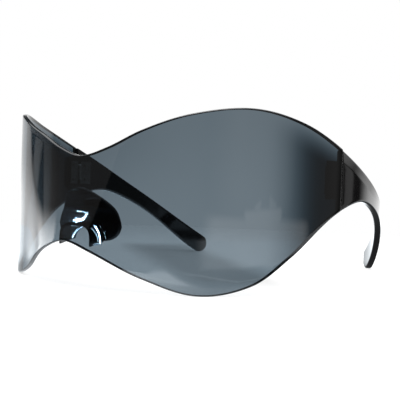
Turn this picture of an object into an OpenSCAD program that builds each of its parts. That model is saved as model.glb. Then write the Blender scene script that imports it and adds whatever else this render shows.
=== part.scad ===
// One-piece shield sunglasses: a wraparound lens, a nose saddle behind it and two folding arms.
// Lengths are in millimetres. The glasses stand on the two lower lobes of the lens and on the arm tips.
// X runs from the wearer's right to left, Y from the front to the back, Z upwards.
// Most places are measured along the lens's outer face: s is the arc from the middle of the nose,
// d is the distance inwards from the outer face, and z is the height above the standing level.

/* [Lens plan] */
// Bend radius of the lens in front of the nose
front_r = 82; // [76:1:90]
// Turn of the bend in front of the nose, from the middle, in degrees
front_turn = 15; // [12:0.5:18]
// Bend radius of the lens round the side of the face
side_r = 66.5; // [62:0.5:72]
// Turn of the bend round the side of the face, in degrees
side_turn = 64.5; // [61:0.5:67]
// Bend radius of the lens along the temple
temple_r = 172; // [150:1:200]
// Turn of the bend along the temple, in degrees
temple_turn = 6; // [5:0.5:7]

/* [Lens outline] */
// Height of the brow peaks above the standing level
brow_h = 66.2; // [62:0.1:72]
// Height of the top edge over the nose
bridge_h = 48; // [44:0.1:52]
// Height of the crown of the nose arch
arch_h = 17; // [14:0.1:21]
// Height of the hinge edge's upper end
hinge_top_h = 54.5; // [51:0.1:58]
// Height of the hinge edge's lower end
hinge_low_h = 30.3; // [27:0.1:33]
// Thickness of the lens
lens_t = 2; // [1.8:0.05:2.2]
// Radius of the polished edges of the lens
lens_edge_r = 0.5; // [0.3:0.05:0.8]

/* [Nose flare] */
// Tilt of the lens over the nose, which brings its lower edge forwards, in degrees
flare_turn = 13.8; // [6:0.1:18]
// Arc on each side of the nose over which the tilt fades
flare_arc = 35; // [28:1:42]
// Height at which the tilted face meets the plan curve
flare_h = 42.3; // [38:0.1:47]

/* [Arms] */
// Length of an arm along its outer face, from the hinge edge to the tip
arm_len = 93.6; // [86:0.2:100]
// Bend radius of the arm behind the hinge
arm_r = 235; // [200:1:300]
// Turn of the arm behind the hinge, in degrees
arm_turn = 7; // [6:0.5:8]
// Bend radius of the arm where it runs in behind the ear
tail_r = 101.5; // [90:0.5:120]
// Thickness of the arm
arm_t = 3; // [2.8:0.05:3.3]
// Height of the crest of the arm's lower edge
arm_crest_h = 33.9; // [31:0.1:36]
// Radius of the arm's rounded tip, seen from the side
tip_r = 4.8; // [4:0.1:5.6]
// Droop of the arm where it runs into the tip, in degrees
tip_droop = 31; // [25:1:36]
// Radius of the arm's long edges
arm_edge_r = 0.8; // [0.5:0.05:1.1]
// Distance of the crease on the outer face below the arm's top edge
crease_drop = 5; // [4:0.1:9]
// Depth of the facet above the crease, at the top edge
crease_in = 0.45; // [0.4:0.05:1.2]
// Length of the crease along the arm
crease_len = 46; // [35:1:60]

/* [Hinges] */
// Slit between the lens and the arm
hinge_gap = 0.4; // [0.3:0.05:0.6]
// Distance of the pin inwards from the outer face
pin_in = 3.6; // [3.5:0.05:4]
// Radius of the hinge screw's shank
pin_r = 0.6; // [0.5:0.05:0.7]
// Running clearance between the shank and the knuckles, on the radius
pin_clear = 0.04; // [0.02:0.01:0.08]
// Outer radius of the knuckles
knuckle_r = 1.2; // [1.1:0.05:1.3]
// Height of the three knuckles together
barrel_h = 7.2; // [6:0.1:8]
// Gap between two knuckles
knuckle_gap = 0.06; // [0.03:0.01:0.12]
// Gap between the knuckles and what they turn beside
swing_gap = 0.3; // [0.2:0.05:0.35]
// Thickness of the hinge leaves
leaf_t = 0.8; // [0.6:0.05:0.9]
// Height of the hinge leaves
leaf_h = 11; // [9.5:0.1:12]
// Length of the front leaf, from the pin
front_leaf_len = 6.4; // [6:0.1:6.6]
// Length of the rear leaf, from the pin
rear_leaf_len = 9.5; // [8:0.1:12]
// Length of the hinge block along the lens
block_len = 7; // [6.8:0.1:8]
// Thickness of the hinge block, from the lens to the leaf
block_t = 1.4; // [1.2:0.05:1.5]
// Height of the hinge block
block_h = 15; // [13:0.1:17]
// Depth of the arm's recess for the rear leaf
recess_depth = 0.1; // [0.05:0.05:0.3]

/* [Screws] */
// Radius of the leaf screws' shanks
screw_r = 0.5; // [0.4:0.05:0.6]
// Radius of the leaf screws' heads
screw_head_r = 0.9; // [0.75:0.05:1]
// Height of the screw heads
screw_head_h = 0.35; // [0.25:0.05:0.5]
// Distance between the two screws of a leaf
screw_pitch = 7; // [6:0.1:7.4]
// Clearance round a screw's shank, on the radius
screw_clear = 0.03; // [0.02:0.01:0.06]
// Depth of the front leaf's screws in the hinge block
front_screw_depth = 1.1; // [0.8:0.05:1.1]
// Depth of the rear leaf's screws in the arm
rear_screw_depth = 1.8; // [1.2:0.05:2]
// Width of the screwdriver slots
slot_w = 0.25; // [0.15:0.05:0.35]
// Depth of the screwdriver slots
slot_depth = 0.2; // [0.1:0.05:0.22]

/* [Nose saddle] */
// Width of the nose saddle
saddle_w = 29.2; // [26:0.2:32]
// Height of the saddle's top above the standing level
saddle_top_h = 36.3; // [34:0.1:38]
// Height of the saddle's widest place
saddle_mid_h = 22.5; // [21:0.1:24]
// Height of the lower ends of the saddle's pads
saddle_low_h = 16.8; // [15:0.1:18]
// Thickness of the saddle
saddle_t = 2; // [1.6:0.1:2.4]
// Radius of the saddle's edges
saddle_edge_r = 0.7; // [0.4:0.05:0.75]
// Distance of the saddle's lower part behind the plan curve
saddle_back = 5; // [4:0.1:6.5]
// Height over which the saddle leans back from the lens
saddle_lean_h = 9; // [7:0.1:12]
// Sweep of the pads backwards at their outer edges
pad_sweep = 2; // [1:0.1:5]
// Width of the nose opening between the pads
nose_gap_w = 13.6; // [12:0.2:16]
// Rise of the nose opening above the pads' lower ends
nose_gap_rise = 5.4; // [4:0.1:7]
// Half width of the soft ridge down the saddle's middle
ridge_soft = 0.8; // [0.4:0.1:1.5]
// Length of the hood in front of the nose opening
hood_len = 5; // [3:0.1:5]
// Thickness of the hood's wall
hood_wall = 1.2; // [0.9:0.1:1.4]
// Height of the feet of the hood's free end
hood_foot_h = 15.2; // [14.4:0.1:16.4]
// Bond line between the saddle and the lens
bond_gap = 0.05; // [0.02:0.01:0.1]

/* [Hidden] */

// Plan curve: arcs that follow each other without a kink, each a radius and a turn
arcs = [[front_r, front_turn], [side_r, side_turn], [temple_r, temple_turn], [arm_r, arm_turn], [tail_r, 90]];
function arc_run(arc) = arc[0] * arc[1] * PI / 180;
hinge_arc = arc_run(arcs[0]) + arc_run(arcs[1]) + arc_run(arcs[2]);
lens_end = hinge_arc - hinge_gap / 2;
arm_start = hinge_arc + hinge_gap / 2;
tip_arc = hinge_arc + arm_len;

// Place and heading on the plan curve after a run of s: x, y and the heading in degrees
function walk(s, i = 0, x = 0, y = 0, heading = 0) =
    let (r = arcs[i][0], last = i == len(arcs) - 1, run = arc_run(arcs[i]))
    let (turn = last || s < run ? s / r * 180 / PI : arcs[i][1])
    let (nx = x + r * (sin(heading + turn) - sin(heading)))
    let (ny = y + r * (cos(heading) - cos(heading + turn)))
    last || s < run ? [nx, ny, heading + turn] : walk(s - run, i + 1, nx, ny, heading + turn);

// Share of the nose tilt that is left at arc s
function flare_share(s) = s < flare_arc ? (1 + cos(180 * s / flare_arc)) / 2 : 0;

// Point at arc s (negative on the wearer's right), distance d inwards and height z
function on_face(s, d, z) =
    let (w = walk(abs(s)))
    let (in = d + tan(flare_turn) * flare_share(abs(s)) * (z - flare_h))
    [sign(s) * (w[0] - in * sin(w[2])), w[1] + in * cos(w[2]), z];

// Smooth curve through knots [s, z], level at the first one and with a given slope at the last one
function knot_slope(k, i, end_slope) =
    i == 0 ? 0 :
    i == len(k) - 1 ? end_slope :
    (k[i + 1][1] - k[i - 1][1]) / (k[i + 1][0] - k[i - 1][0]);
function knot_before(k, s, i = 0) = i == len(k) - 2 || s < k[i + 1][0] ? i : knot_before(k, s, i + 1);
function smooth_curve(k, s, end_slope) =
    let (i = knot_before(k, s), run = k[i + 1][0] - k[i][0], t = (s - k[i][0]) / run)
    let (m0 = knot_slope(k, i, end_slope) * run, m1 = knot_slope(k, i + 1, end_slope) * run)
    k[i][1] * (1 - 3 * t ^ 2 + 2 * t ^ 3) + m0 * (t - 2 * t ^ 2 + t ^ 3)
    + k[i + 1][1] * (3 * t ^ 2 - 2 * t ^ 3) + m1 * (t ^ 3 - t ^ 2);

// Shares of the lens's arc, and of the rise from the bridge to the brow peak
brow_shares = [[0, 0], [0.105, 0.17], [0.227, 0.505], [0.385, 0.84], [0.577, 1]];
// Shares of the lens's arc, and of the rise from the hinge edge's upper end to the brow peak
temple_top_shares = [[0.77, 0.7], [1, 0]];
// Shares of the arm's length, and of the height of the hinge edge's upper end
arm_top_shares = [[0.274, 0.818], [0.594, 0.555]];
// Shares of the lens's arc, and of the height of the nose arch
lobe_shares = [[0, 1], [0.0875, 0.82], [0.245, 0.307], [0.42, 0]];
// Shares of the lens's arc, and of the height of the hinge edge's lower end
temple_low_shares = [[0.595, 0.122], [0.735, 0.446], [0.875, 0.792], [1, 1]];
// Shares of the arm's length, and of the height of the crest of its lower edge
arm_low_shares = [[0.21, 1], [0.402, 0.888], [0.616, 0.611]];

// The tip is a round end that touches the standing level
tip_mid_arc = tip_arc - tip_r;
tip_lean = tip_r * sin(tip_droop);
top_knots = [
    for (k = brow_shares) [k[0] * hinge_arc, bridge_h + k[1] * (brow_h - bridge_h)],
    for (k = temple_top_shares) [k[0] * hinge_arc, hinge_top_h + k[1] * (brow_h - hinge_top_h)],
    for (k = arm_top_shares) [hinge_arc + k[0] * arm_len, k[1] * hinge_top_h],
    [tip_mid_arc + tip_lean, tip_r + tip_r * cos(tip_droop)]
];
low_knots = [
    for (k = lobe_shares) [k[0] * hinge_arc, k[1] * arch_h],
    for (k = temple_low_shares) [k[0] * hinge_arc, k[1] * hinge_low_h],
    for (k = arm_low_shares) [hinge_arc + k[0] * arm_len, k[1] * arm_crest_h],
    [tip_mid_arc - tip_lean, tip_r - tip_r * cos(tip_droop)]
];
function tip_half(s) = sqrt(max(0, tip_r ^ 2 - (s - tip_mid_arc) ^ 2));
function top_z(s) =
    s > tip_mid_arc + tip_lean ? tip_r + tip_half(s) : smooth_curve(top_knots, s, -tan(tip_droop));
function low_z(s) =
    s > tip_mid_arc - tip_lean ? tip_r - tip_half(s) : smooth_curve(low_knots, s, -tan(tip_droop));

// Quarter round of a section's corner, as [d, z] points from one angle to the next
function corner(d, z, r, from_turn) =
    [for (a = [0, 45, 90]) [d + r * cos(from_turn - a), z + r * sin(from_turn - a)]];

// Radius that still fits into a section this wide
round_limit = 0.476;
function fitting_r(r, width) = min(r, round_limit * width);

// Section of the lens or of a strip along it: a rectangle with rounded corners
function strip_section(d0, d1, z0, z1, r) = concat(
    corner(d0 + r, z0 + r, r, 270), corner(d0 + r, z1 - r, r, 180),
    corner(d1 - r, z1 - r, r, 90), corner(d1 - r, z0 + r, r, 0)
);

// Closed solid through rings of points, with flat ends
module skin(rings) {
    n = len(rings[0]);
    last = len(rings) - 1;
    sides = [
        for (j = [0 : last - 1], i = [0 : n - 1])
            let (a = j * n + i, b = j * n + (i + 1) % n)
            each [[a, b, b + n], [a, b + n, a + n]]
    ];
    ends = [[for (i = [n - 1 : -1 : 0]) i], [for (i = [0 : n - 1]) last * n + i]];
    polyhedron([for (r = rings) each r], concat(sides, ends), convexity = 6);
}

// Stations along half the lens, with the hinge block's own stations at the end
lens_steps = 50;
block_steps = 4;
block_start = lens_end - block_len;
half_stations = [
    for (i = [0 : lens_steps - 1]) block_start * i / lens_steps,
    for (i = [0 : block_steps]) block_start + block_len * i / block_steps
];
lens_stations = [for (i = [len(half_stations) - 1 : -1 : 1]) -half_stations[i], each half_stations];
lens_rings = [
    for (s = lens_stations)
        [for (p = strip_section(0, lens_t, low_z(abs(s)), top_z(abs(s)), lens_edge_r)) on_face(s, p[0], p[1])]
];

// Stations along the arm, closer together round the tip
arm_steps = 40;
tip_steps = 8;
tip_end_turn = 84;
arm_stations = [
    for (i = [0 : arm_steps - 1]) arm_start + (tip_mid_arc - arm_start) * i / arm_steps,
    for (i = [0 : tip_steps]) tip_mid_arc + tip_r * sin(tip_end_turn * i / tip_steps)
];

// The arm thins out over its last half thickness, so that its end is round in plan too
arm_half_t = arm_t / 2;
function end_thin(s) =
    let (u = (s - (tip_arc - arm_half_t)) / arm_half_t)
    u > 0 ? arm_half_t * (1 - sqrt(max(0, 1 - u ^ 2))) : 0;
function crease_share(s) =
    s - arm_start < crease_len ? (1 + cos(180 * (s - arm_start) / crease_len)) / 2 : 0;

// Section of the arm: the outer face leans in above the crease
function arm_section(s) =
    let (z0 = low_z(s), z1 = top_z(s), d0 = end_thin(s), d1 = arm_t - end_thin(s))
    let (r = fitting_r(arm_edge_r, min(z1 - z0, d1 - d0)), lean = crease_in * crease_share(s))
    concat(
        corner(d0 + r, z0 + r, r, 270), [[d0, max(z1 - crease_drop, (z0 + z1) / 2)]],
        corner(d0 + lean + r, z1 - r, r, 180), corner(d1 - r, z1 - r, r, 90), corner(d1 - r, z0 + r, r, 0)
    );
arm_rings = [for (s = arm_stations) [for (p = arm_section(s)) on_face(s, p[0], p[1])]];

// The origin is under the middle of the whole, on the standing level
front_y = min([for (r = lens_rings, p = r) p[1]]);
rear_y = max([for (r = arm_rings, p = r) p[1]]);
low_level = min([for (r = concat(lens_rings, arm_rings), p = r) p[2]]);
module placed() {
    translate([0, -(front_y + rear_y) / 2, -low_level]) children();
}
module mirrored() {
    mirror([1, 0, 0]) children();
}

// Frame of a hinge: X runs back along the face, Y inwards, Z up, with the origin at half the edge's height
hinge_place = walk(hinge_arc);
hinge_h = (hinge_top_h + hinge_low_h) / 2;
module at_hinge() {
    translate([hinge_place[0], hinge_place[1], hinge_h]) rotate(hinge_place[2]) children();
}

front_seat = lens_t + block_t;
rear_seat = arm_t - recess_depth;
knuckle_h = (barrel_h - 2 * knuckle_gap) / 3;
knuckle_step = knuckle_h + knuckle_gap;
leaf_clear = knuckle_r + swing_gap / 2;
front_screw_x = -(front_leaf_len + leaf_clear) / 2;
rear_screw_x = (rear_leaf_len + leaf_clear) / 2;
cut_over = 5;
round_sides = 48;

module knuckle(level) {
    translate([0, pin_in, level * knuckle_step - knuckle_h / 2])
        cylinder(h = knuckle_h, r = knuckle_r, $fn = round_sides);
}

module knuckle_bore() {
    translate([0, pin_in, -barrel_h]) cylinder(h = 2 * barrel_h, r = pin_r + pin_clear, $fn = round_sides);
}

// Room that the knuckles and the hinge screw's head need in the block and in the arm
module knuckle_room() {
    room_h = barrel_h + screw_head_h + 2 * swing_gap;
    translate([0, pin_in, -barrel_h / 2 - swing_gap])
        cylinder(h = room_h, r = knuckle_r + swing_gap, $fn = round_sides);
}

// Tab from a leaf's plate to one of its knuckles; side is -1 for the front leaf and 1 for the rear one
module tab(level, side, seat) {
    reach = leaf_clear + leaf_t;
    translate([side > 0 ? 0 : -reach, seat, level * knuckle_step - knuckle_h / 2])
        cube([reach, leaf_t, knuckle_h]);
}

// What a leaf's two screws need: holes or shanks along Y
module at_screws(x, y) {
    for (z = [-screw_pitch / 2, screw_pitch / 2]) translate([x, y, z]) rotate([-90, 0, 0]) children();
}

module screw_holes(x, seat, depth) {
    at_screws(x, seat - depth - screw_clear)
        cylinder(h = depth + screw_clear + leaf_t + cut_over, r = screw_r + screw_clear, $fn = round_sides);
}

module leaf_screws(x, seat, depth) {
    at_screws(x, seat - depth) difference() {
        union() {
            cylinder(h = depth + leaf_t, r = screw_r, $fn = round_sides);
            translate([0, 0, depth + leaf_t]) cylinder(h = screw_head_h, r = screw_head_r, $fn = round_sides);
        }
        translate([-screw_head_r, -slot_w / 2, depth + leaf_t + screw_head_h - slot_depth])
            cube([2 * screw_head_r, slot_w, screw_head_h]);
    }
}

module lens() {
    color("dimgray", 0.75) placed() skin(lens_rings);
}

// Nose saddle: a bell-shaped plate that meets the lens at its top and leans back below, with a nose opening
saddle_half = saddle_w / 2;
gap_half = nose_gap_w / 2;
saddle_bell_power = 1.8;
saddle_bell_root = 0.6;
pad_corner_power = 5;
gap_power = 1.5;
hood_power = 4;
function bell(x) = (1 - abs(x / saddle_half) ^ saddle_bell_power) ^ saddle_bell_root;
function saddle_top(x) = saddle_mid_h + (saddle_top_h - saddle_mid_h) * bell(x);
function pad_low(x) =
    saddle_mid_h - (saddle_mid_h - saddle_low_h) * sqrt(1 - abs(x / saddle_half) ^ pad_corner_power);
function gap_arch(x) = abs(x) < gap_half ? (1 - abs(x / gap_half) ^ gap_power) ^ (1 / gap_power) : 0;
function saddle_low(x) = pad_low(x) + nose_gap_rise * gap_arch(x);
function lens_back(z) = lens_t + tan(flare_turn) * (z - flare_h);
function lean_share(z) =
    let (t = min(1, (saddle_top_h - z) / saddle_lean_h))
    (1 - cos(180 * t)) / 2;
saddle_top_y = lens_back(saddle_top_h) + bond_gap;
function sweep_share(x) = (norm([x, ridge_soft]) - ridge_soft) / (norm([saddle_half, ridge_soft]) - ridge_soft);
function saddle_y(x, z) =
    saddle_top_y + (saddle_back - saddle_top_y) * lean_share(z) + pad_sweep * sweep_share(x);

saddle_rows = 7;
saddle_steps = 12;
saddle_end_turn = 86;
half_columns = [
    for (i = [0 : saddle_steps - 1]) gap_half * sin(90 * i / saddle_steps),
    for (i = [0 : saddle_steps]) gap_half + (saddle_half - gap_half) * sin(saddle_end_turn * i / saddle_steps)
];
saddle_columns = [for (i = [len(half_columns) - 1 : -1 : 1]) -half_columns[i], each half_columns];
function saddle_section(x) =
    let (z0 = saddle_low(x), z1 = saddle_top(x), r = fitting_r(saddle_edge_r, z1 - z0))
    concat(
        corner(r, z0 + r, r, 270),
        [for (i = [1 : saddle_rows - 1]) [0, z0 + r + (z1 - z0 - 2 * r) * i / saddle_rows]],
        corner(r, z1 - r, r, 180), corner(saddle_t - r, z1 - r, r, 90),
        [for (i = [1 : saddle_rows - 1]) [saddle_t, z1 - r - (z1 - z0 - 2 * r) * i / saddle_rows]],
        corner(saddle_t - r, z0 + r, r, 0)
    );
saddle_rings = [for (x = saddle_columns) [for (p = saddle_section(x)) [x, saddle_y(x, p[1]) + p[0], p[1]]]];

// Hood round the nose opening: an arched wall from inside the plate forward, squarer at its free end
hood_steps = 24;
hood_root_share = 0.6;
function hood_arch(half, low, rise, power) = [
    for (i = [0 : hood_steps])
        let (a = 180 * i / hood_steps)
        [half * sign(cos(a)) * abs(cos(a)) ^ (2 / power), low + rise * abs(sin(a)) ^ (2 / power)]
];
function hood_ring(y, low, power) =
    let (rise = saddle_low_h + nose_gap_rise - low)
    let (inner = hood_arch(gap_half, low, rise, power))
    let (outer = hood_arch(gap_half + hood_wall, low, rise + hood_wall, power))
    [
        for (p = outer) [p[0], y, p[1]],
        for (i = [hood_steps : -1 : 0]) [inner[i][0], y, inner[i][1]]
    ];
hood_rings = [
    hood_ring(saddle_back - hood_len, hood_foot_h, hood_power),
    hood_ring(saddle_back + saddle_t * hood_root_share, saddle_low_h, gap_power)
];

module nose_saddle() {
    color("#181818") placed() {
        skin(saddle_rings);
        skin(hood_rings);
    }
}

// Block bonded behind the lens's hinge edge, flat where the leaf lies on it
block_low = hinge_h - block_h / 2;
block_section = strip_section(lens_t, front_seat + block_t, block_low, block_low + block_h, lens_edge_r);
block_rings = [
    for (i = [0 : block_steps])
        [for (p = block_section) on_face(block_start + block_len * i / block_steps, p[0], p[1])]
];
module hinge_block() {
    difference() {
        skin(block_rings);
        at_hinge() {
            translate([-block_len - cut_over, front_seat, -block_h])
                cube([block_len + 2 * cut_over, cut_over, 2 * block_h]);
            knuckle_room();
            screw_holes(front_screw_x, front_seat, front_screw_depth);
        }
    }
}
module hinge_block_left() {
    color("#141414") placed() hinge_block();
}
module hinge_block_right() {
    color("#141414") placed() mirrored() hinge_block();
}

// Front leaf: the upper and lower knuckles
module front_leaf() {
    at_hinge() difference() {
        union() {
            translate([-front_leaf_len, front_seat, -leaf_h / 2])
                cube([front_leaf_len - leaf_clear, leaf_t, leaf_h]);
            for (level = [-1, 1]) {
                knuckle(level);
                tab(level, -1, front_seat);
            }
        }
        knuckle_bore();
        screw_holes(front_screw_x, front_seat, 0);
    }
}
module front_leaf_left() {
    color("gray") placed() front_leaf();
}
module front_leaf_right() {
    color("gray") placed() mirrored() front_leaf();
}

// Rear leaf: the middle knuckle
module rear_leaf() {
    at_hinge() difference() {
        union() {
            translate([leaf_clear, rear_seat, -leaf_h / 2])
                cube([rear_leaf_len - leaf_clear, leaf_t, leaf_h]);
            knuckle(0);
            tab(0, 1, rear_seat);
        }
        knuckle_bore();
        screw_holes(rear_screw_x, rear_seat, 0);
    }
}
module rear_leaf_left() {
    color("gray") placed() rear_leaf();
}
module rear_leaf_right() {
    color("gray") placed() mirrored() rear_leaf();
}

module front_leaf_screws_left() {
    color("silver") placed() at_hinge() leaf_screws(front_screw_x, front_seat, front_screw_depth);
}
module front_leaf_screws_right() {
    color("silver") placed() mirrored() at_hinge() leaf_screws(front_screw_x, front_seat, front_screw_depth);
}
module rear_leaf_screws_left() {
    color("silver") placed() at_hinge() leaf_screws(rear_screw_x, rear_seat, rear_screw_depth);
}
module rear_leaf_screws_right() {
    color("silver") placed() mirrored() at_hinge() leaf_screws(rear_screw_x, rear_seat, rear_screw_depth);
}

// Screw that the arm turns on, with its head on the upper knuckle
module hinge_screw() {
    at_hinge() translate([0, pin_in, 0]) difference() {
        union() {
            translate([0, 0, -barrel_h / 2]) cylinder(h = barrel_h, r = pin_r, $fn = round_sides);
            translate([0, 0, barrel_h / 2])
                cylinder(h = screw_head_h, r = knuckle_r - pin_clear, $fn = round_sides);
        }
        translate([-knuckle_r, -slot_w / 2, barrel_h / 2 + screw_head_h - slot_depth])
            cube([2 * knuckle_r, slot_w, screw_head_h]);
    }
}
module hinge_screw_left() {
    color("silver") placed() hinge_screw();
}
module hinge_screw_right() {
    color("silver") placed() mirrored() hinge_screw();
}

// Arm, with the recess for its leaf and the room for the knuckles
module arm() {
    difference() {
        skin(arm_rings);
        at_hinge() {
            translate([-cut_over, rear_seat, -leaf_h / 2 - recess_depth])
                cube([rear_leaf_len + recess_depth + cut_over, cut_over, leaf_h + 2 * recess_depth]);
            knuckle_room();
            screw_holes(rear_screw_x, rear_seat, rear_screw_depth);
        }
    }
}
module arm_left() {
    color("#101010") placed() arm();
}
module arm_right() {
    color("#101010") placed() mirrored() arm();
}

lens();
nose_saddle();
hinge_block_left();
hinge_block_right();
front_leaf_left();
front_leaf_right();
front_leaf_screws_left();
front_leaf_screws_right();
hinge_screw_left();
hinge_screw_right();
rear_leaf_left();
rear_leaf_right();
rear_leaf_screws_left();
rear_leaf_screws_right();
arm_left();
arm_right();
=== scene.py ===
"""Looks of the one-piece shield sunglasses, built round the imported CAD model.

The shapes are in millimetres until a mesh is made. As in the CAD source, s is the arc along the outer face
from the middle of the nose, d the distance inwards from that face, and z the height above the standing level.
Materials, floor, room and lamps are in metres and degrees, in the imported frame. An azimuth is 0 in front of
the object, which is -Y, and grows towards its left side, which is +X.
"""
import math

import bpy
from mathutils import Matrix, Vector


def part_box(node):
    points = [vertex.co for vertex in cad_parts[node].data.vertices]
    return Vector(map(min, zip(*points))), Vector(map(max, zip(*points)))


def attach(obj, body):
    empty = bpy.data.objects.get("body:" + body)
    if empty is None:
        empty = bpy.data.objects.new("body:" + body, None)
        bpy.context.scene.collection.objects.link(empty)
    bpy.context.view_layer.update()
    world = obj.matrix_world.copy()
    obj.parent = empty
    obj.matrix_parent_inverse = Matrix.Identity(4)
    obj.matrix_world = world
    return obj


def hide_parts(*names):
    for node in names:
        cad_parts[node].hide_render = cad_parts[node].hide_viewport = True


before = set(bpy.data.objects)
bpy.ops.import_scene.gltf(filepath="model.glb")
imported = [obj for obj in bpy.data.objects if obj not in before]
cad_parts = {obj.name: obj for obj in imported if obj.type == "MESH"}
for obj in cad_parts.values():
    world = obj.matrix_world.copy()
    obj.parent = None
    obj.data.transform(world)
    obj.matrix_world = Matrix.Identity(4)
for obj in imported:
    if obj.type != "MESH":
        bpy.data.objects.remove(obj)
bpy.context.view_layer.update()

MM = 0.001
SIDES = ("left", "right")

# Sizes of the CAD source that the fine meshes repeat
ARCS = [(82, 15), (66.5, 64.5), (172, 6), (235, 7), (101.5, 90)]
BROW_H, BRIDGE_H, ARCH_H = 66.2, 48, 17
HINGE_TOP_H, HINGE_LOW_H = 54.5, 30.3
LENS_T, LENS_EDGE_R = 2, 0.5
FLARE_TURN, FLARE_ARC, FLARE_H = 13.8, 35, 42.3
ARM_LEN, ARM_T, ARM_CREST_H, ARM_EDGE_R = 93.6, 3, 33.9, 0.8
TIP_R, TIP_DROOP = 4.8, 31
CREASE_DROP, CREASE_IN, CREASE_LEN = 5, 0.45, 46
HINGE_GAP, PIN_IN, BARREL_H = 0.4, 3.6, 7.2
SADDLE_W, SADDLE_TOP_H, SADDLE_MID_H, SADDLE_LOW_H = 29.2, 36.3, 22.5, 16.8
SADDLE_T, SADDLE_EDGE_R, SADDLE_BACK, SADDLE_LEAN_H = 2, 0.7, 5, 9
PAD_SWEEP, RIDGE_SOFT, NOSE_GAP_W, NOSE_GAP_RISE, BOND_GAP = 2, 0.8, 13.6, 5.4, 0.05
HOOD_LEN, HOOD_WALL, HOOD_FOOT_H, HOOD_ROOT_SHARE = 5, 1.2, 15.2, 0.6
BELL_POWER, BELL_ROOT, PAD_CORNER_POWER, GAP_POWER, HOOD_POWER = 1.8, 0.6, 5, 1.5, 4

# Sizes that only the fine meshes have
END_R = 0.35
CREASE_SOFT, CREASE_LEAST_H = 0.25, 0.1
HOOD_EDGE_R, HOOD_FILLET_R = 0.45, 0.5
# Largest rounding of an edge, as a share of the wall's height or thickness there
ROUND_SHARE = 0.476
# A rounded end stops short of a full quarter turn, so that its last face still has a height
LAST_TURN = 88

# Lip of the nose opening. Its rear line follows the opening and ends at an x; its foot line runs outside the
# hood from an x on, and its last run slants forwards and inwards to the hood's free end
LIP_R, LIP_LEAST_R, LIP_SIDES, LIP_STEPS, LIP_TAPER = 0.34, 0.01, 10, 72, 3
REAR_GROWN, REAR_BACK, REAR_END_X = 0.05, 1.1, 3.2
FOOT_GROWN, FOOT_DROP, FOOT_POWER, FOOT_BACK, FOOT_START_X = 0.42, 0.6, 2.2, -0.45, 4.6
LAST_RUN, LAST_RUN_STEPS = (-0.9, -4.0, -0.5), 12


def rad(a):
    return math.radians(a)


def walk(s):
    """Place and heading on the plan curve after an arc of s."""
    x = y = heading = 0
    for i, (r, turn) in enumerate(ARCS):
        run = r * rad(turn)
        here = s / r if i == len(ARCS) - 1 or s < run else rad(turn)
        x += r * (math.sin(heading + here) - math.sin(heading))
        y += r * (math.cos(heading) - math.cos(heading + here))
        heading += here
        if s < run or i == len(ARCS) - 1:
            return x, y, heading
        s -= run


def flare_share(s):
    return (1 + math.cos(math.pi * s / FLARE_ARC)) / 2 if s < FLARE_ARC else 0


def on_face(s, d, z):
    """Point of the shell that the lens and the arms share; s is negative on the right side."""
    x, y, heading = walk(abs(s))
    inwards = d + math.tan(rad(FLARE_TURN)) * flare_share(abs(s)) * (z - FLARE_H)
    side = 1 if s >= 0 else -1
    return (side * (x - inwards * math.sin(heading)), y + inwards * math.cos(heading), z)


def smooth_curve(knots, s, end_slope):
    """Height at s of a smooth curve through the knots, level at the first and sloped at the last."""
    last = len(knots) - 1
    i = 0
    while i < last - 1 and s >= knots[i + 1][0]:
        i += 1

    def slope(j):
        if j == 0:
            return 0
        if j == last:
            return end_slope
        return (knots[j + 1][1] - knots[j - 1][1]) / (knots[j + 1][0] - knots[j - 1][0])

    run = knots[i + 1][0] - knots[i][0]
    t = (s - knots[i][0]) / run
    rise = t * t * (3 - 2 * t)
    bend = slope(i) * (t - 2 * t**2 + t**3) + slope(i + 1) * (t**3 - t**2)
    return knots[i][1] * (1 - rise) + knots[i + 1][1] * rise + run * bend


HINGE_ARC = sum(r * rad(turn) for r, turn in ARCS[:3])
LENS_END = HINGE_ARC - HINGE_GAP / 2
ARM_START = HINGE_ARC + HINGE_GAP / 2
TIP_ARC = HINGE_ARC + ARM_LEN
TIP_MID = TIP_ARC - TIP_R
TIP_LEAN = TIP_R * math.sin(rad(TIP_DROOP))
TIP_RISE = TIP_R * math.cos(rad(TIP_DROOP))


def outline_knots(shares, start, length, low, high):
    """Knots of an outline, from shares of a length and of the rise from low to high."""
    return [(start + a * length, low + b * (high - low)) for a, b in shares]


BROW_SHARES = [(0, 0), (0.105, 0.17), (0.227, 0.505), (0.385, 0.84), (0.577, 1)]
TOP_KNOTS = (
    outline_knots(BROW_SHARES, 0, HINGE_ARC, BRIDGE_H, BROW_H)
    + outline_knots([(0.77, 0.7), (1, 0)], 0, HINGE_ARC, HINGE_TOP_H, BROW_H)
    + outline_knots([(0.274, 0.818), (0.594, 0.555)], HINGE_ARC, ARM_LEN, 0, HINGE_TOP_H)
    + [(TIP_MID + TIP_LEAN, TIP_R + TIP_RISE)]
)
LOW_KNOTS = (
    outline_knots([(0, 1), (0.0875, 0.82), (0.245, 0.307), (0.42, 0)], 0, HINGE_ARC, 0, ARCH_H)
    + outline_knots([(0.595, 0.122), (0.735, 0.446), (0.875, 0.792), (1, 1)], 0, HINGE_ARC, 0, HINGE_LOW_H)
    + outline_knots([(0.21, 1), (0.402, 0.888), (0.616, 0.611)], HINGE_ARC, ARM_LEN, 0, ARM_CREST_H)
    + [(TIP_MID - TIP_LEAN, TIP_R - TIP_RISE)]
)


def tip_half(s):
    return math.sqrt(max(0, TIP_R**2 - (s - TIP_MID) ** 2))


def top_z(s):
    if s > TIP_MID + TIP_LEAN:
        return TIP_R + tip_half(s)
    return smooth_curve(TOP_KNOTS, s, -math.tan(rad(TIP_DROOP)))


def low_z(s):
    if s > TIP_MID - TIP_LEAN:
        return TIP_R - tip_half(s)
    return smooth_curve(LOW_KNOTS, s, -math.tan(rad(TIP_DROOP)))


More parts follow.
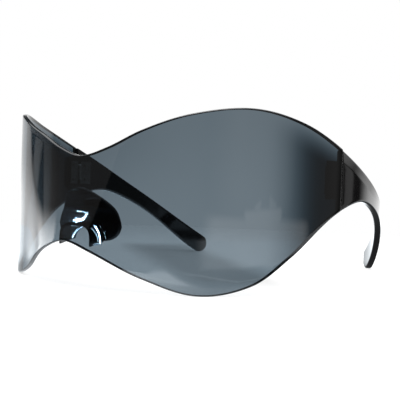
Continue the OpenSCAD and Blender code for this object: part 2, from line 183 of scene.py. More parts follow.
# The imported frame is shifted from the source's own: the hinge pin tells by how much
pin_low, pin_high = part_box("hinge_screw_left")
_, hinge_y, hinge_heading = walk(HINGE_ARC)
SHIFT_Y = (pin_low.y + pin_high.y) / 2 / MM - (hinge_y + PIN_IN * math.cos(hinge_heading))
SHIFT_Z = pin_low.z / MM - ((HINGE_TOP_H + HINGE_LOW_H) / 2 - BARREL_H / 2)


def to_frame(p):
    return (p[0] * MM, (p[1] + SHIFT_Y) * MM, (p[2] + SHIFT_Z) * MM)


def new_object(name, data):
    thing = bpy.data.objects.new(name, data)
    bpy.context.scene.collection.objects.link(thing)
    return thing


# The photograph's camera: its direction and roll, how far it stands from its aim, its focal length in pixels,
# and where the aim lies, to the right of, above and behind the middle of the nose
CAM_AZ, CAM_EL, CAM_ROLL = rad(34.041), rad(1.333), rad(2.113)
CAM_DISTANCE, CAM_FOCUS_PX = 303.12, 742.27
AIM_RIGHT, AIM_UP, AIM_BACK = 22.62, 32.49, 40
IMAGE_PX, SENSOR, CLIP_START = 400, 36, 0.01


def make_camera():
    flat = math.cos(CAM_EL)
    back = Vector((math.sin(CAM_AZ) * flat, -math.cos(CAM_AZ) * flat, math.sin(CAM_EL)))
    right = Vector((math.cos(CAM_AZ), math.sin(CAM_AZ), 0))
    up = back.cross(right)
    aim = right * AIM_RIGHT + up * AIM_UP + Vector((0, AIM_BACK, 0))
    place = aim + back * CAM_DISTANCE
    turned_right = right * math.cos(CAM_ROLL) + up * math.sin(CAM_ROLL)
    turned_up = up * math.cos(CAM_ROLL) - right * math.sin(CAM_ROLL)
    data = bpy.data.cameras.new("camera")
    data.sensor_width = SENSOR
    data.lens = CAM_FOCUS_PX / IMAGE_PX * SENSOR
    data.clip_start = CLIP_START
    cam = new_object("camera", data)
    turn = Matrix((turned_right, turned_up, back)).transposed().to_4x4()
    cam.matrix_world = Matrix.Translation(to_frame(place)) @ turn
    bpy.context.scene.camera = cam


make_camera()


# Meshes


def corner(d, z, r, from_turn, steps):
    """Quarter turn about (d, z), clockwise from the angle from_turn."""
    turns = [rad(from_turn - 90 * i / steps) for i in range(steps + 1)]
    return [(d + r * math.cos(a), z + r * math.sin(a)) for a in turns]


def between(a, b, count):
    """Points between a and b, both left out."""
    return [tuple(p + (q - p) * i / count for p, q in zip(a, b)) for i in range(1, count)]


def new_piece(name, points, faces, body, slot, *nodes):
    mesh = bpy.data.meshes.new(name)
    mesh.from_pydata([to_frame(p) for p in points], [], faces)
    mesh.update()
    for polygon in mesh.polygons:
        polygon.use_smooth = True
    piece = new_object(name, mesh)
    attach(piece, body)
    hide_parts(*nodes)
    return piece


def skin(rings, mirrored=False):
    """Points and faces of a closed skin through rings, with its flat ends."""
    n = len(rings[0])
    points = [p for ring in rings for p in ring]
    faces = []
    for j in range(len(rings) - 1):
        for i in range(n):
            a, b = j * n + i, j * n + (i + 1) % n
            faces.append((a, a + n, b + n, b))
    half = n // 2
    for first, flip in ((0, False), ((len(rings) - 1) * n, True)):
        for i in range(half - 1):
            quad = [first + i, first + i + 1, first + n - 2 - i, first + n - 1 - i]
            faces.append(tuple(reversed(quad) if flip else quad))
    if mirrored:
        points = [(-x, y, z) for x, y, z in points]
        faces = [tuple(reversed(f)) for f in faces]
    return points, faces


def strip_section(d0, d1, z0, z1, r, rows, steps):
    """Section as (d, z), from the outer face's lower corner up, over the top edge and down the inner face.

    It ends with the inner face's lower corner, so that the list's two halves face each other.
    """
    low_outer = corner(d0 + r, z0 + r, r, 270, steps)
    top_outer = corner(d0 + r, z1 - r, r, 180, steps)
    top_inner = corner(d1 - r, z1 - r, r, 90, steps)
    low_inner = corner(d1 - r, z0 + r, r, 0, steps)
    up = between(low_outer[-1], top_outer[0], rows)
    down = between(top_inner[-1], low_inner[0], rows)
    return low_outer + up + top_outer + top_inner + down + low_inner


def make_lens():
    steps, rows, half_count, end_steps = 5, 22, 130, 4
    # Stations as (s, how far the section draws in), with a rounded finish at both ends
    half = [((LENS_END - END_R) * i / half_count, 0) for i in range(half_count + 1)]
    for i in range(1, end_steps + 1):
        a = rad(90 * i / end_steps)
        half.append((LENS_END - END_R + END_R * math.sin(a), END_R * (1 - math.cos(a))))
    stations = [(-s, inset) for s, inset in reversed(half[1:])] + half
    rings = []
    for s, inset in stations:
        z0, z1 = low_z(abs(s)) + inset, top_z(abs(s)) - inset
        section = strip_section(inset, LENS_T - inset, z0, z1, LENS_EDGE_R, rows, steps)
        rings.append([on_face(s, d, z) for d, z in section])
    points, faces = skin(rings)
    lens = new_piece("lens_shell", points, faces, "front", "smoke_lens", "lens")
    # The rim's faces, the rounded edges and the strip between them, take the edge's own finish
    n = len(rings[0])
    outer_end = steps + rows
    inner_start = 2 * steps + rows + 1 + steps
    lower_outer = range(0, steps - 1)
    upper = range(outer_end + 1, inner_start)
    lower_inner = range(inner_start + rows + 1, n)
    edge = {*lower_outer, *upper, *lower_inner}
    ring_faces = (len(rings) - 1) * n
    for index, polygon in enumerate(lens.data.polygons):
        on_cap = index >= ring_faces
        near_end = not end_steps <= index // n < len(rings) - 1 - end_steps
        polygon.material_index = 1 if on_cap or near_end or index % n in edge else 0
    return lens


def end_thin(s):
    """How far each face of the arm draws in at its rounded end."""
    half = ARM_T / 2
    u = (s - (TIP_ARC - half)) / half
    return half * (1 - math.sqrt(max(0, 1 - u * u))) if u > 0 else 0


def crease_share(s):
    run = s - ARM_START
    return (1 + math.cos(math.pi * run / CREASE_LEN)) / 2 if run < CREASE_LEN else 0


def arm_section(s, inset, steps, rows):
    """Section as in strip_section, but with the outer face leaning in above the crease."""
    z0, z1 = low_z(s) + inset, top_z(s) - inset
    thin = end_thin(s) + inset
    d0, d1 = thin, ARM_T - thin
    r = min(ARM_EDGE_R, ROUND_SHARE * (z1 - z0), ROUND_SHARE * (d1 - d0))
    lean = CREASE_IN * crease_share(s)
    crease_z = max(z1 - CREASE_DROP, (z0 + z1) / 2)
    low_outer = corner(d0 + r, z0 + r, r, 270, steps)
    top_outer = corner(d0 + lean + r, z1 - r, r, 180, steps)
    top_inner = corner(d1 - r, z1 - r, r, 90, steps)
    low_inner = corner(d1 - r, z0 + r, r, 0, steps)
    soft = min(CREASE_SOFT, (crease_z - low_outer[-1][1]) / 3)
    slope = (top_outer[0][0] - d0) / max(CREASE_LEAST_H, top_outer[0][1] - crease_z)
    below = (d0, crease_z - soft)
    above = (d0 + slope * soft, crease_z + soft)
    outer = (
        between(low_outer[-1], below, rows)
        + [below, (d0 + slope * soft / 4, crease_z), above]
        + between(above, top_outer[0], rows // 2)
    )
    inner = between(top_inner[-1], low_inner[0], len(outer) + 1)
    return low_outer + outer + top_outer + top_inner + inner + low_inner


def make_arm(side):
    steps, rows, count, tip_steps = 6, 10, 190, 22
    stations = []
    for a in (90, 60, 30):
        stations.append((ARM_START + END_R * (1 - math.sin(rad(a))), END_R * (1 - math.cos(rad(a)))))
    run = TIP_MID - ARM_START - END_R
    stations += [(ARM_START + END_R + run * i / count, 0) for i in range(count)]
    for i in range(tip_steps + 1):
        stations.append((TIP_MID + TIP_R * math.sin(rad(LAST_TURN * i / tip_steps)), 0))
    rings = []
    for s, inset in stations:
        rings.append([on_face(s, d, z) for d, z in arm_section(s, inset, steps, rows)])
    points, faces = skin(rings, side == "right")
    return new_piece("arm_shell_" + side, points, faces, side + "_arm", "black_plastic", "arm_" + side)


# Nose saddle


def saddle_top(x):
    bell = (1 - abs(2 * x / SADDLE_W) ** BELL_POWER) ** BELL_ROOT
    return SADDLE_MID_H + (SADDLE_TOP_H - SADDLE_MID_H) * bell


def pad_low(x):
    share = abs(2 * x / SADDLE_W) ** PAD_CORNER_POWER
    return SADDLE_MID_H - (SADDLE_MID_H - SADDLE_LOW_H) * math.sqrt(1 - share)


def saddle_low(x):
    u = abs(2 * x / NOSE_GAP_W)
    return pad_low(x) + NOSE_GAP_RISE * ((1 - u**GAP_POWER) ** (1 / GAP_POWER) if u < 1 else 0)


def lean_share(z):
    t = min(1, (SADDLE_TOP_H - z) / SADDLE_LEAN_H)
    return (1 - math.cos(math.pi * t)) / 2


def saddle_y(x, z):
    """Front face of the plate: it leans back from the lens, and sweeps back from the ridge to the pads."""
    top_y = LENS_T + math.tan(rad(FLARE_TURN)) * (SADDLE_TOP_H - FLARE_H) + BOND_GAP
    half = SADDLE_W / 2
    sweep = (math.hypot(x, RIDGE_SOFT) - RIDGE_SOFT) / (math.hypot(half, RIDGE_SOFT) - RIDGE_SOFT)
    return top_y + (SADDLE_BACK - top_y) * lean_share(z) + PAD_SWEEP * sweep


def hood_arch(grown, low, power, count):
    """Outline of the nose opening over the height low, grown outwards, from foot to foot over the top."""
    half, rise = NOSE_GAP_W / 2 + grown, SADDLE_LOW_H + NOSE_GAP_RISE - low + grown
    points = []
    for i in range(count + 1):
        a = rad(180 * i / count)
        across = math.copysign(abs(math.cos(a)) ** (2 / power), math.cos(a)) if 2 * i != count else 0
        points.append((half * across, low + rise * abs(math.sin(a)) ** (2 / power)))
    return points


def hood_ring(y, share, inner_grown, outer_grown, count):
    """Ring of the hood at y; share says how far it is from the free end's outline to the root's."""

    def outline(grown):
        free = hood_arch(grown, HOOD_FOOT_H, HOOD_POWER, count)
        root = hood_arch(grown, SADDLE_LOW_H, GAP_POWER, count)
        return [tuple(p + (q - p) * share for p, q in zip(a, b)) for a, b in zip(free, root)]

    outer, inner = outline(outer_grown), outline(inner_grown)
    return [(x, y, z) for x, z in outer] + [(x, y, z) for x, z in reversed(inner)]


def make_saddle_plate():
    steps, rows, count = 5, 30, 26
    gap, half = NOSE_GAP_W / 2, SADDLE_W / 2
    inner = [gap * math.sin(rad(90 * i / count)) for i in range(count)]
    outer = [gap + (half - gap) * math.sin(rad(LAST_TURN * i / count)) for i in range(count + 1)]
    columns = [-x for x in reversed((inner + outer)[1:])] + inner + outer
    rings = []
    for x in columns:
        z0, z1 = saddle_low(x), saddle_top(x)
        r = min(SADDLE_EDGE_R, ROUND_SHARE * (z1 - z0))
        section = strip_section(0, SADDLE_T, z0, z1, r, rows, steps)
        rings.append([(x, saddle_y(x, z) + d, z) for d, z in section])
    return new_piece("saddle_plate", *skin(rings), "front", "black_plastic", "nose_saddle")


def make_hood():
    """Hood round the nose opening: rounded at its free end, with a fillet at the plate."""
    arch_steps, straight_steps, turn_step = 60, 12, 15
    front, root = SADDLE_BACK - HOOD_LEN, SADDLE_BACK + SADDLE_T * HOOD_ROOT_SHARE
    straight = HOOD_LEN - HOOD_EDGE_R - HOOD_FILLET_R
    # Stations as (y, how far both faces draw in, how far the fillet reaches out)
    stations = []
    for a in range(0, 91, turn_step):
        y = front + HOOD_EDGE_R * (1 - math.cos(rad(a)))
        stations.append((y, HOOD_EDGE_R * (1 - math.sin(rad(a))), 0))
    for i in range(1, straight_steps + 1):
        stations.append((front + HOOD_EDGE_R + straight * i / straight_steps, 0, 0))
    for a in range(turn_step, 91, turn_step):
        y = SADDLE_BACK - HOOD_FILLET_R * (1 - math.sin(rad(a)))
        stations.append((y, 0, HOOD_FILLET_R * (1 - math.cos(rad(a)))))
    stations.append((root, 0, HOOD_FILLET_R))
    rings = []
    for y, inset, fillet in stations:
        share = (y - front) / (root - front)
        rings.append(hood_ring(y, share, inset, HOOD_WALL - inset + fillet, arch_steps))
    return new_piece("saddle_hood", *skin(rings), "front", "black_plastic", "nose_saddle")


def bead(path):
    """Points and faces of the lip along a path, drawn to a point at both ends."""
    last = len(path) - 1
    turns = [2 * math.pi * j / LIP_SIDES for j in range(LIP_SIDES)]
    # No stretch of the path runs along this direction
    aside = Vector((0, 1, 0.01))
    rings = []
    for i, p in enumerate(path):
        ahead = Vector(path[min(i + 1, last)]) - Vector(path[max(i - 1, 0)])
        u = ahead.cross(aside).normalized()
        v = ahead.cross(u).normalized()
        thick = LIP_R * math.sin(rad(90 * min(1, i / LIP_TAPER, (last - i) / LIP_TAPER)))
        thick = max(LIP_LEAST_R, thick)
        rings.append([tuple(Vector(p) + (u * math.cos(a) + v * math.sin(a)) * thick) for a in turns])
    return skin(rings)


def make_lip():
    """Fine bead along the rear rim of the nose opening, and along the foot of the hood outside it."""
    rim = hood_arch(REAR_GROWN, SADDLE_LOW_H, GAP_POWER, LIP_STEPS)
    rear = [(x, SADDLE_BACK + REAR_BACK, z) for x, z in rim if x < REAR_END_X]
    foot = hood_arch(HOOD_WALL + FOOT_GROWN, SADDLE_LOW_H - FOOT_DROP, FOOT_POWER, LIP_STEPS)
    side = [(x, SADDLE_BACK + FOOT_BACK, z) for x, z in reversed(foot) if x > FOOT_START_X]
    last_point = side[-1]
    for i in range(1, LAST_RUN_STEPS + 1):
        side.append(tuple(p + q * i / LAST_RUN_STEPS for p, q in zip(last_point, LAST_RUN)))
    points, faces = bead(rear)
    side_points, side_faces = bead(side)
    faces += [tuple(len(points) + i for i in f) for f in side_faces]
    return new_piece("saddle_lip", points + side_points, faces, "front", "black_plastic", "nose_saddle")


# Materials


class Nodes:
    """Short way to write a node tree."""

    def __init__(self, name=None, world=None):
        self.owner = world or bpy.data.materials.new(name)
        self.owner.use_nodes = True
        self.tree = self.owner.node_tree
        self.tree.nodes.clear()

    def add(self, kind, **settings):
        node = self.tree.nodes.new("ShaderNode" + kind)
        for key, value in settings.items():
            setattr(node, key, value)
        return node

    def feed(self, socket, value):
        if isinstance(value, bpy.types.NodeSocket):
            self.tree.links.new(value, socket)
        else:
            socket.default_value = value

    def feed_all(self, node, *values):
        """Feed the node's first sockets in turn, and give its first output."""
        for socket, value in zip(node.inputs, values):
            self.feed(socket, value)
        return node.outputs[0]

    def feed_named(self, node, **values):
        """Feed sockets by name, and give the first output."""
        for key, value in values.items():
            self.feed(node.inputs[key.replace("_", " ")], value)
        return node.outputs[0]

    def math(self, operation, *values, clamp=False):
        return self.feed_all(self.add("Math", operation=operation, use_clamp=clamp), *values)

    def flipped(self, value):
        return self.math("SUBTRACT", 1.0, value)

    def smooth(self, value, low, high, out_low=0.0, out_high=1.0, kind="SMOOTHSTEP"):
        """Out_low up to low and out_high from high on, with a smooth or a LINEAR change between them."""
        node = self.add("MapRange", interpolation_type=kind)
        return self.feed_all(node, value, low, high, out_low, out_high)

    def window(self, value, low, high, soft):
        """1 between low and high and 0 outside, with borders that are soft to either side."""
        rise = self.smooth(value, low - soft, low + soft)
        fall = self.smooth(value, high - soft, high + soft, 1.0, 0.0)
        return self.math("MULTIPLY", rise, fall)

    def mix(self, factor, a, b):
        node = self.add("Mix", data_type="RGBA")
        # The node keeps sockets for every kind of value; these are the ones for colours
        for index, value in ((0, factor), (6, a), (7, b)):
            self.feed(node.inputs[index], value)
        return node.outputs[2]

    def place(self, kind="Object"):
        """Sockets x, y and z of a coordinate."""
        split = self.add("SeparateXYZ")
        self.feed(split.inputs[0], self.add("TexCoord").outputs[kind])
        return split.outputs

    def azimuth(self, x, y):
        turn = self.math("ARCTAN2", x, self.math("MULTIPLY", y, -1.0))
        return self.math("MULTIPLY", turn, 180 / math.pi)

    def noise(self, scale, detail=3, stretch=(1, 1, 1)):
        mapping = self.add("Mapping")
        vector = self.feed_named(mapping, Vector=self.add("TexCoord").outputs["Object"], Scale=stretch)
        noise = self.add("TexNoise")
        self.feed_named(noise, Vector=vector, Scale=scale, Detail=detail)
        return noise.outputs["Fac"]

    def ramp(self, value, stops):
        """Grey that follows the stops, each (place from 0 to 1, level)."""
        node = self.add("ValToRGB")
        elements = node.color_ramp.elements
        while len(elements) < len(stops):
            elements.new(0.5)
        for element, (at, level) in zip(elements, stops):
            element.position = at
            element.color = grey(level)
        return self.feed_all(node, value)

    def bump(self, height, strength, distance):
        return self.feed_named(self.add("Bump"), Strength=strength, Distance=distance, Height=height)

    def shader(self, **values):
        return self.feed_named(self.add("BsdfPrincipled"), **values)

    def glow(self, colour, strength):
        return self.feed_all(self.add("Emission"), colour, strength)

    def blend(self, factor, first, second):
        """The first shader at factor 0, the second at 1."""
        return self.feed_all(self.add("MixShader"), factor, first, second)

    def from_outside(self):
        """1 where a ray meets a face from outside, 0 from within the wall."""
        return self.flipped(self.add("NewGeometry").outputs["Backfacing"])

    def for_camera(self, mirrored, seen):
        """One shader for the camera's own rays, another for all others."""
        return self.blend(self.add("LightPath").outputs["Is Camera Ray"], mirrored, seen)

    def finish(self, surface):
        kind = "OutputWorld" if isinstance(self.owner, bpy.types.World) else "OutputMaterial"
        self.feed(self.add(kind).inputs["Surface"], surface)
        return self.owner


def grey(level):
    return (level, level, level, 1)


WHITE = grey(1)
# Middle parts of a noise's values, which are what varies a roughness or a tint
NOISE_MIDDLE, SWIRL_MIDDLE, DRIFT_MIDDLE = (0.3, 0.7), (0.25, 0.75), (0.2, 0.8)
# What the slow swirls and the fine grain of the polished plastic add to its height
SWIRL_SHARE, FINE_SHARE = 0.9, 0.02

POLYCARBONATE_IOR, NYLON_IOR = 1.585, 1.5
# What one crossing of the lens lets through, head on, and how much a slow noise varies it
LENS_TINT = (0.134, 0.172, 0.201)
LENS_DRIFT, DRIFT_SCALE = (0.985, 1.015), 55
# Heights over which the tint gets a little deeper, and what multiplies the light at either
TINT_Z, TINT_Z_SHARES = (0.020, 0.066), (1.09, 0.94)
# Y along which the tint deepens towards the hinges, and what is left of the light on the way there
TINT_Y = (-0.0500, -0.0030)
TINT_STOPS = (
    (0.08, 1),
    (0.155, 0.97),
    (0.225, 0.82),
    (0.3, 0.63),
    (0.396, 0.36),
    (0.505, 0.14),
    (0.64, 0.045),
    (1, 0.012),
)
# Blue and green get less of that deepening than red
TINT_POWERS = (1.0, 0.88, 0.82)
# Line that stands for the upper edge behind the eye, and the depth below it where the tint is full
TOP_LINE_SLOPE, TOP_LINE_Z, TOP_FADE = -0.2814, 0.05353, 0.0098
LENS_ROUGH = 0.03
# Waves on the lens: scale of the noise, strength and depth
LENS_WAVES = (38, 0.05, 0.0006)

# Pairs between which a noise varies a colour or a roughness
RIM_COLOURS = ((0.006, 0.008, 0.010, 1), (0.016, 0.020, 0.023, 1))
RIM_ROUGH = (0.07, 0.16)
NYLON_COLOURS = ((0.0035, 0.0033, 0.0036, 1), (0.0065, 0.006, 0.0062, 1))
NYLON_ROUGH = (0.035, 0.08)
LIP_COLOURS = (grey(0.005), grey(0.008))
LIP_ROUGH = (0.36, 0.42)
BLACKENED_COLOURS = ((0.075, 0.0735, 0.07125, 1), (0.10, 0.098, 0.095, 1))
TURNED_COLOURS = ((0.54, 0.5325, 0.525, 1), (0.72, 0.71, 0.70, 1))
STEEL_ROUGH = (0.22, 0.38)


def lens_material():
    """Clear wall, tinted by place and by slant, with a mirror on its outside."""
    n = Nodes("smoke_polycarbonate")
    _, y, z = n.place()
    left = n.ramp(n.smooth(y, *TINT_Y, kind="LINEAR"), TINT_STOPS)
    # The deeper tint fades out towards the upper edge, which falls straight enough towards the hinge
    depth = n.math("SUBTRACT", n.math("MULTIPLY_ADD", y, TOP_LINE_SLOPE, TOP_LINE_Z), z)
    near = n.math("SUBTRACT", 1.0, n.math("DIVIDE", depth, TOP_FADE), clamp=True)
    left = n.mix(n.math("MULTIPLY", near, near), left, WHITE)
    # A slanting ray has a longer way through the wall, and each of the wall's two faces takes half of it
    weight = n.add("LayerWeight")
    weight.inputs["Blend"].default_value = 0.5
    cosine = n.flipped(weight.outputs["Facing"])
    sine2 = n.flipped(n.math("MULTIPLY", cosine, cosine))
    inside2 = n.flipped(n.math("DIVIDE", sine2, POLYCARBONATE_IOR**2))
    way = n.math("DIVIDE", 0.5, n.math("SQRT", inside2))
    drift = n.smooth(n.noise(scale=DRIFT_SCALE, detail=2), *DRIFT_MIDDLE, *LENS_DRIFT)
    drift = n.math("MULTIPLY", drift, n.smooth(z, *TINT_Z, *TINT_Z_SHARES))
    channels = n.add("SeparateColor")
    n.feed(channels.inputs[0], left)
    tint = n.add("CombineColor")
    for i, (share, power) in enumerate(zip(LENS_TINT, TINT_POWERS)):
        deep = n.math("POWER", channels.outputs[i], power)
        base = n.math("MULTIPLY", n.math("MULTIPLY", deep, share), drift)
        n.feed(tint.inputs[i], n.math("POWER", base, way))
    clear = n.feed_named(n.add("BsdfTransparent"), Color=tint.outputs[0])
    scale, strength, distance = LENS_WAVES
    waves = n.bump(n.noise(scale, detail=2), strength, distance)
    gloss = n.feed_named(n.add("BsdfGlossy"), Roughness=LENS_ROUGH, Normal=waves)
    fresnel = n.feed_named(n.add("Fresnel"), IOR=POLYCARBONATE_IOR)
    return n.finish(n.blend(n.math("MULTIPLY", fresnel, n.from_outside()), clear, gloss))


def rim_material():
    n = Nodes("smoke_polycarbonate_edge")
    grain = n.noise(scale=900, stretch=(1, 1, 0.25))
    surface = n.shader(
        Base_Color=n.mix(grain, *RIM_COLOURS),
        Roughness=n.smooth(grain, *NOISE_MIDDLE, *RIM_ROUGH),
        IOR=POLYCARBONATE_IOR,
        # Seen through the wall, the dyed edge stays dark
        Specular_IOR_Level=n.math("MULTIPLY", n.from_outside(), 0.5),
        Normal=n.bump(grain, strength=0.08, distance=0.0001),
    )
    return n.finish(surface)


def plastic_material():
    n = Nodes("polished_black_nylon")
    swirl = n.noise(scale=70)
    fine = n.noise(scale=1600, detail=2)
    height = n.math("MULTIPLY_ADD", swirl, SWIRL_SHARE, n.math("MULTIPLY", fine, FINE_SHARE))
    surface = n.shader(
        Base_Color=n.mix(swirl, *NYLON_COLOURS),
        Roughness=n.smooth(swirl, *SWIRL_MIDDLE, *NYLON_ROUGH),
        IOR=NYLON_IOR,
        Normal=n.bump(height, strength=0.06, distance=0.0004),
    )
    return n.finish(surface)


def lip_material():
    n = Nodes("satin_black_nylon")
    grain = n.noise(scale=900, detail=2)
    surface = n.shader(
        Base_Color=n.mix(grain, *LIP_COLOURS),
        Roughness=n.smooth(grain, *NOISE_MIDDLE, *LIP_ROUGH),
        IOR=NYLON_IOR,
    )
    return n.finish(surface)


def steel_material(name, stretch, colours):
    n = Nodes(name)
    lines = n.noise(scale=700, detail=4, stretch=stretch)
    surface = n.shader(
        Base_Color=n.mix(lines, *colours),
        Metallic=1.0,
        Roughness=n.smooth(lines, *NOISE_MIDDLE, *STEEL_ROUGH),
        Normal=n.bump(lines, strength=0.15, distance=0.00005),
    )
    return n.finish(surface)


# Floor

FLOOR_R, FLOOR_Z, FLOOR_SIDES = 0.33, -0.00002, 48
# Direction of the shaded strip on the floor, and where its middle line lies
SHADE_DIR, SHADE_OFFSET = (0.75, 0.66), -0.0129
# Scale and width of the waves in the zones' borders, and by how much a drawn border comes closer per degree
WAVE_SCALE, WAVE_W, DRAWN = 11, 0.05, 0.0011
# Zones of painted light and shade on the floor. Each has two ranges: from, to, and how soft the borders are.
# All but the last show to mirrored rays alone. "wavy" is the distance from the middle, with waves, and
# "drawn" the same with a share of the azimuth; "across" and "along" are the shaded strip's own directions
FLOOR_ZONES = {
    # Painted shade, dark in front of the lens's left half, and in a wedge from there to the rim
    "ring": {"wavy": (0.090, 0.165, 0.012), "az": (12, 76, 6)},
    "wedge": {"wavy": (0.118, 0.40, 0.015), "az": (8, 41, 4)},
    # Painted light: a broad bright strip in front of the left eye, and a thin one that comes closer to the
    # left
    "broad": {"x": (0.030, 0.062, 0.006), "y": (-0.140, -0.080, 0.02)},
    "thin": {"drawn": (0.174, 0.180, 0.003), "az": (33, 66, 6)},
    # Painted shade, duller below the left arm, which shows in the arm's lower edge
    "under": {"x": (0.045, 0.14, 0.01), "y": (-0.04, 0.13, 0.01)},
    # Painted shadow, soft, from the front to behind the right arm
    "shade": {"across": (-0.024, 0.016, 0.010), "along": (-0.045, 0.135, 0.02)},
}
THIN_SHARE, UNDER_SHARE = 0.5, 0.85
LIT_FLOOR, DARK_FLOOR = (0.95, 1.0, 1.04, 1), grey(0.02)
# Light that mirrored rays get from the floor: least round one azimuth and most opposite to it, more of it
# close in front and on the left, and far more in the bright strips
DULL_AZ, DULL_LEVELS = 45, (95, 125, 0.95, 2.3)
CLOSE_LEVELS, CLOSE_AZ = (0.105, 0.125, 0.6, 0.0), (0, 34, 8)
LEFT_LEVEL, LEFT_AZ = 0.4, (58, 110, 8)
BRIGHT_LEVEL = 1.5
# What the camera sees: a pale disc, half of whose light is a painted glow of its own, as on a lit table, so
# that the shadow stays faint. Both halves fade towards the rim from this distance on
FADE_FROM, TABLE_LEVELS, TABLE_SHARE = 0.12, (1.4, 1.15), 0.5
PALE_COLOURS, RIM_TONE = (grey(0.82), grey(0.85)), grey(0.71)
SHADED_PALE, SHADED_TABLE = grey(0.56), grey(0.64)


def floor_material():
    n = Nodes("pale_floor")
    x, y, _ = n.place()
    reach = n.math("SQRT", n.math("ADD", n.math("MULTIPLY", x, x), n.math("MULTIPLY", y, y)))
    wavy = n.math("MULTIPLY_ADD", n.noise(WAVE_SCALE), WAVE_W, n.math("SUBTRACT", reach, WAVE_W / 2))
    az = n.azimuth(x, y)
    offset = n.math("MULTIPLY_ADD", x, SHADE_DIR[1], SHADE_OFFSET)
    coordinates = {
        "x": x,
        "y": y,
        "az": az,
        "wavy": wavy,
        "drawn": n.math("MULTIPLY_ADD", az, DRAWN, wavy),
        "across": n.math("MULTIPLY_ADD", y, SHADE_DIR[0], offset),
        "along": n.math("MULTIPLY_ADD", x, -SHADE_DIR[0], n.math("MULTIPLY", y, SHADE_DIR[1])),
    }
    zones = {}
    for name, ranges in FLOOR_ZONES.items():
        zones[name] = n.math("MULTIPLY", *[n.window(coordinates[c], *span) for c, span in ranges.items()])

    bright = n.math("MAXIMUM", zones["broad"], n.math("MULTIPLY", zones["thin"], THIN_SHARE))
    dark = n.math("MULTIPLY", n.math("MAXIMUM", zones["ring"], zones["wedge"]), n.flipped(bright))
    dark = n.math("MAXIMUM", dark, n.math("MULTIPLY", zones["under"], UNDER_SHARE))
    level = n.smooth(n.math("ABSOLUTE", n.math("SUBTRACT", az, DULL_AZ)), *DULL_LEVELS)
    close = n.math("MULTIPLY", n.smooth(wavy, *CLOSE_LEVELS), n.window(az, *CLOSE_AZ))
    level = n.math("ADD", level, close)
    level = n.math("MULTIPLY_ADD", n.window(az, *LEFT_AZ), LEFT_LEVEL, level)
    level = n.math("MULTIPLY_ADD", bright, BRIGHT_LEVEL, level)
    mirrored = n.glow(n.mix(dark, LIT_FLOOR, DARK_FLOOR), level)

    pale = n.mix(n.noise(scale=9), *PALE_COLOURS)
    pale = n.mix(n.smooth(reach, FADE_FROM, FLOOR_R), pale, RIM_TONE)
    pale = n.mix(zones["shade"], pale, SHADED_PALE)
    table_level = n.smooth(reach, FADE_FROM, FLOOR_R, *TABLE_LEVELS)
    table = n.glow(n.mix(zones["shade"], WHITE, SHADED_TABLE), table_level)
    matt = n.shader(Base_Color=pale, Roughness=0.65, Specular_IOR_Level=0.2)
    seen = n.blend(TABLE_SHARE, table, matt)
    return n.finish(n.for_camera(mirrored, seen))


def make_floor():
    turns = [2 * math.pi * i / FLOOR_SIDES for i in range(FLOOR_SIDES)]
    points = [(FLOOR_R * math.cos(a), FLOOR_R * math.sin(a), FLOOR_Z) for a in turns]
    mesh = bpy.data.meshes.new("floor")
    mesh.from_pydata(points, [], [tuple(range(FLOOR_SIDES))])
    floor = new_object("floor", mesh)
    floor.data.materials.append(floor_material())


# Room

# What turns the azimuth so that the sweep's middle is at 0 and no patch has an edge at the seam
SWEEP_TURN = 144
# Levels that change with the elevation: from, to, and the level at either
SWEEP_LEVELS = (-3, 2, 2.2, 1.12)
VEIL_LEVELS = (6, 18, 0.37, 0.19)
DOME_LEVELS = (36, 48, 0.0, 1.9)
ROOM_LEVEL = 0.02
# Lit parts of the room: azimuth from, to and softness, elevation from, to and softness, one level or four
# numbers as above, and by how much the limits in elevation rise with every degree of azimuth
ROOM_PATCHES = [
    # White sweep, from behind to the right
    ((160, -89.5, 4), (-60, 15, 6), SWEEP_LEVELS, 0),
    # Wedge of light low on the right, and a veil high above it that reaches round to the front
    ((-110, -64, 2.5), (-40, -3.66, 0.25), (0.52,), 0.248),
    ((-88, -12, 2.5), (4.1, 32, 0.35), VEIL_LEVELS, 0.16),
    # Thin strip behind on the left, and a wider one above it
    ((149.0, 153.2, 0.5), (-30, 3.5, 1.5), (0.3,), 0),
    ((147, 160, 2.0), (6.0, 50, 1.5), (0.6,), 0),
    # Dim light on the left, dimmer towards the back
    ((56, 112, 14), (-3, 40, 3), (0.42,), 0),
    ((98, 146, 3), (-10, 30, 3), (0.2,), 0),
    # Light below the horizon on the left, whose upper edge has a step and two slanting peaks
    ((47, 125, 6), (-60, -2.6, 0.6), (1.2,), 0),
    ((72, 101, 2), (-60, -2.0, 0.4), (1.2,), 0.015),
    ((79, 84.5, 1.2), (-60, -1.6, 0.3), (0.9,), 0.12),
    ((90, 97, 1.5), (-60, -0.5, 0.3), (0.8,), -0.12),
]


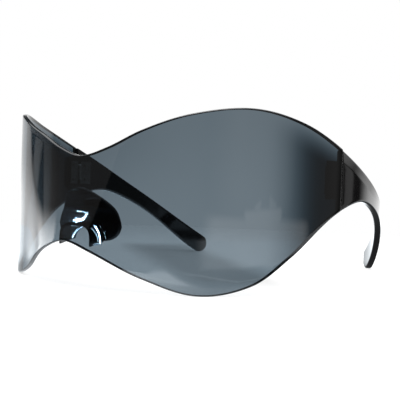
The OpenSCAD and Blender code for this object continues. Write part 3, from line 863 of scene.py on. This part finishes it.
def studio_world():
    """A white sweep behind the object, a dim room in front, and a large soft light above."""
    world = bpy.data.worlds.new("studio")
    bpy.context.scene.world = world
    n = Nodes(world=world)
    x, y, z = n.place("Generated")
    turned = n.math("WRAP", n.math("ADD", n.azimuth(x, y), SWEEP_TURN), 180.0, -180.0)
    el = n.math("MULTIPLY", n.math("ARCSINE", z), 180 / math.pi)

    def patch(az_span, el_span, levels, slope):
        low, high = ((a + SWEEP_TURN + 180) % 360 - 180 for a in az_span[:2])
        risen = el
        if slope:
            rise = n.math("MULTIPLY", n.math("SUBTRACT", turned, low), slope)
            risen = n.math("SUBTRACT", el, rise)
        share = n.math("MULTIPLY", n.window(turned, low, high, az_span[2]), n.window(risen, *el_span))
        level = n.smooth(el, *levels) if len(levels) > 1 else levels[0]
        return n.math("MULTIPLY", share, level)

    total = n.math("ADD", n.smooth(el, *DOME_LEVELS), ROOM_LEVEL)
    for row in ROOM_PATCHES:
        total = n.math("MAXIMUM", total, patch(*row))
    tone = n.feed_all(n.add("CombineColor"), total, total, total)
    mirrored = n.feed_named(n.add("Background"), Color=tone)
    seen = n.feed_named(n.add("Background"), Color=WHITE)
    n.finish(n.for_camera(mirrored, seen))


# Cards and lamps


def glow_card(name, place, size, roll, level):
    """Upright card facing +X that only mirrors show.

    Its light is full over the middle three fifths of the width and the lower three fifths of the height.
    """
    n = Nodes(name)
    _, y, z = n.place()
    wide, high = size
    across = n.window(y, -0.4 * wide, 0.4 * wide, 0.1 * wide)
    upwards = n.smooth(z, 0.1 * high, 0.5 * high, 1.0, 0.0)
    clear = n.add("BsdfTransparent").outputs[0]
    surface = n.blend(n.math("MULTIPLY", across, upwards), clear, n.glow(WHITE, level))
    corners = [(0, sy * wide / 2, sz * high / 2) for sy, sz in ((-1, -1), (1, -1), (1, 1), (-1, 1))]
    mesh = bpy.data.meshes.new(name)
    mesh.from_pydata(corners, [], [(0, 1, 2, 3)])
    mesh.materials.append(n.finish(surface))
    card = new_object(name, mesh)
    card.location = place
    card.rotation_euler = (rad(roll), 0, 0)
    card.visible_camera = False
    card.visible_diffuse = False
    card.visible_shadow = False


def area_light(name, place, aim, size, energy, roll=0):
    data = bpy.data.lights.new(name, "AREA")
    data.shape = "RECTANGLE"
    data.size, data.size_y = size
    data.energy = energy
    light = new_object(name, data)
    light.location = place
    turn = (Vector(aim) - Vector(place)).to_track_quat("-Z", "Y")
    light.rotation_euler = (turn @ Matrix.Rotation(rad(roll), 3, "Z").to_quaternion()).to_euler()
    light.visible_camera = False
    return light


def glint(name, piece, **lamp):
    """Small strong lamp that shows as a highlight on one piece alone, whatever stands between."""
    light = area_light(name, **lamp)
    light.visible_diffuse = False
    takes = bpy.data.collections.new(name + "_takes")
    takes.objects.link(piece)
    light.light_linking.receiver_collection = takes
    light.light_linking.blocker_collection = bpy.data.collections.new(name + "_blocks")


# The whole scene

lens = make_lens()
saddle_plate = make_saddle_plate()
hood = make_hood()
lip = make_lip()
arms = [make_arm(side) for side in SIDES]

plastic = plastic_material()
lens.data.materials.append(lens_material())
lens.data.materials.append(rim_material())
lip.data.materials.append(lip_material())
for piece in [saddle_plate, hood] + arms:
    piece.data.materials.append(plastic)


def dress(node, material):
    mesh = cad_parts[node].data
    mesh.materials.clear()
    mesh.materials.append(material)


blackened_steel = steel_material("blackened_steel", (1, 1, 14), BLACKENED_COLOURS)
turned_steel = steel_material("turned_steel", (1, 1, 3), TURNED_COLOURS)
for side in SIDES:
    dress("hinge_block_" + side, plastic)
    for node in ("front_leaf_", "rear_leaf_", "front_leaf_screws_", "rear_leaf_screws_"):
        dress(node + side, blackened_steel)
    dress("hinge_screw_" + side, turned_steel)

studio_world()
make_floor()
area_light("soft_top", place=(0.25, -0.35, 0.9), aim=(0, 0, 0.03), size=(0.7, 0.5), energy=6)
glow_card("low_card", place=(-0.075, -0.098, 0.015), size=(0.060, 0.048), roll=-20, level=5.5)
glint(
    "glint_plate",
    saddle_plate,
    place=(-0.0489, -0.1201, 0.0218),
    aim=(-0.0017, -0.072, 0.0245),
    size=(0.043, 0.0015),
    energy=0.7,
    roll=5,
)
glint(
    "glint_lip",
    lip,
    place=(0.020, -0.170, 0.040),
    aim=(0, -0.072, 0.02),
    size=(0.06, 0.06),
    energy=1700,
)
bpy.context.scene.view_settings.view_transform = "Standard"

bpy.context.view_layer.update()
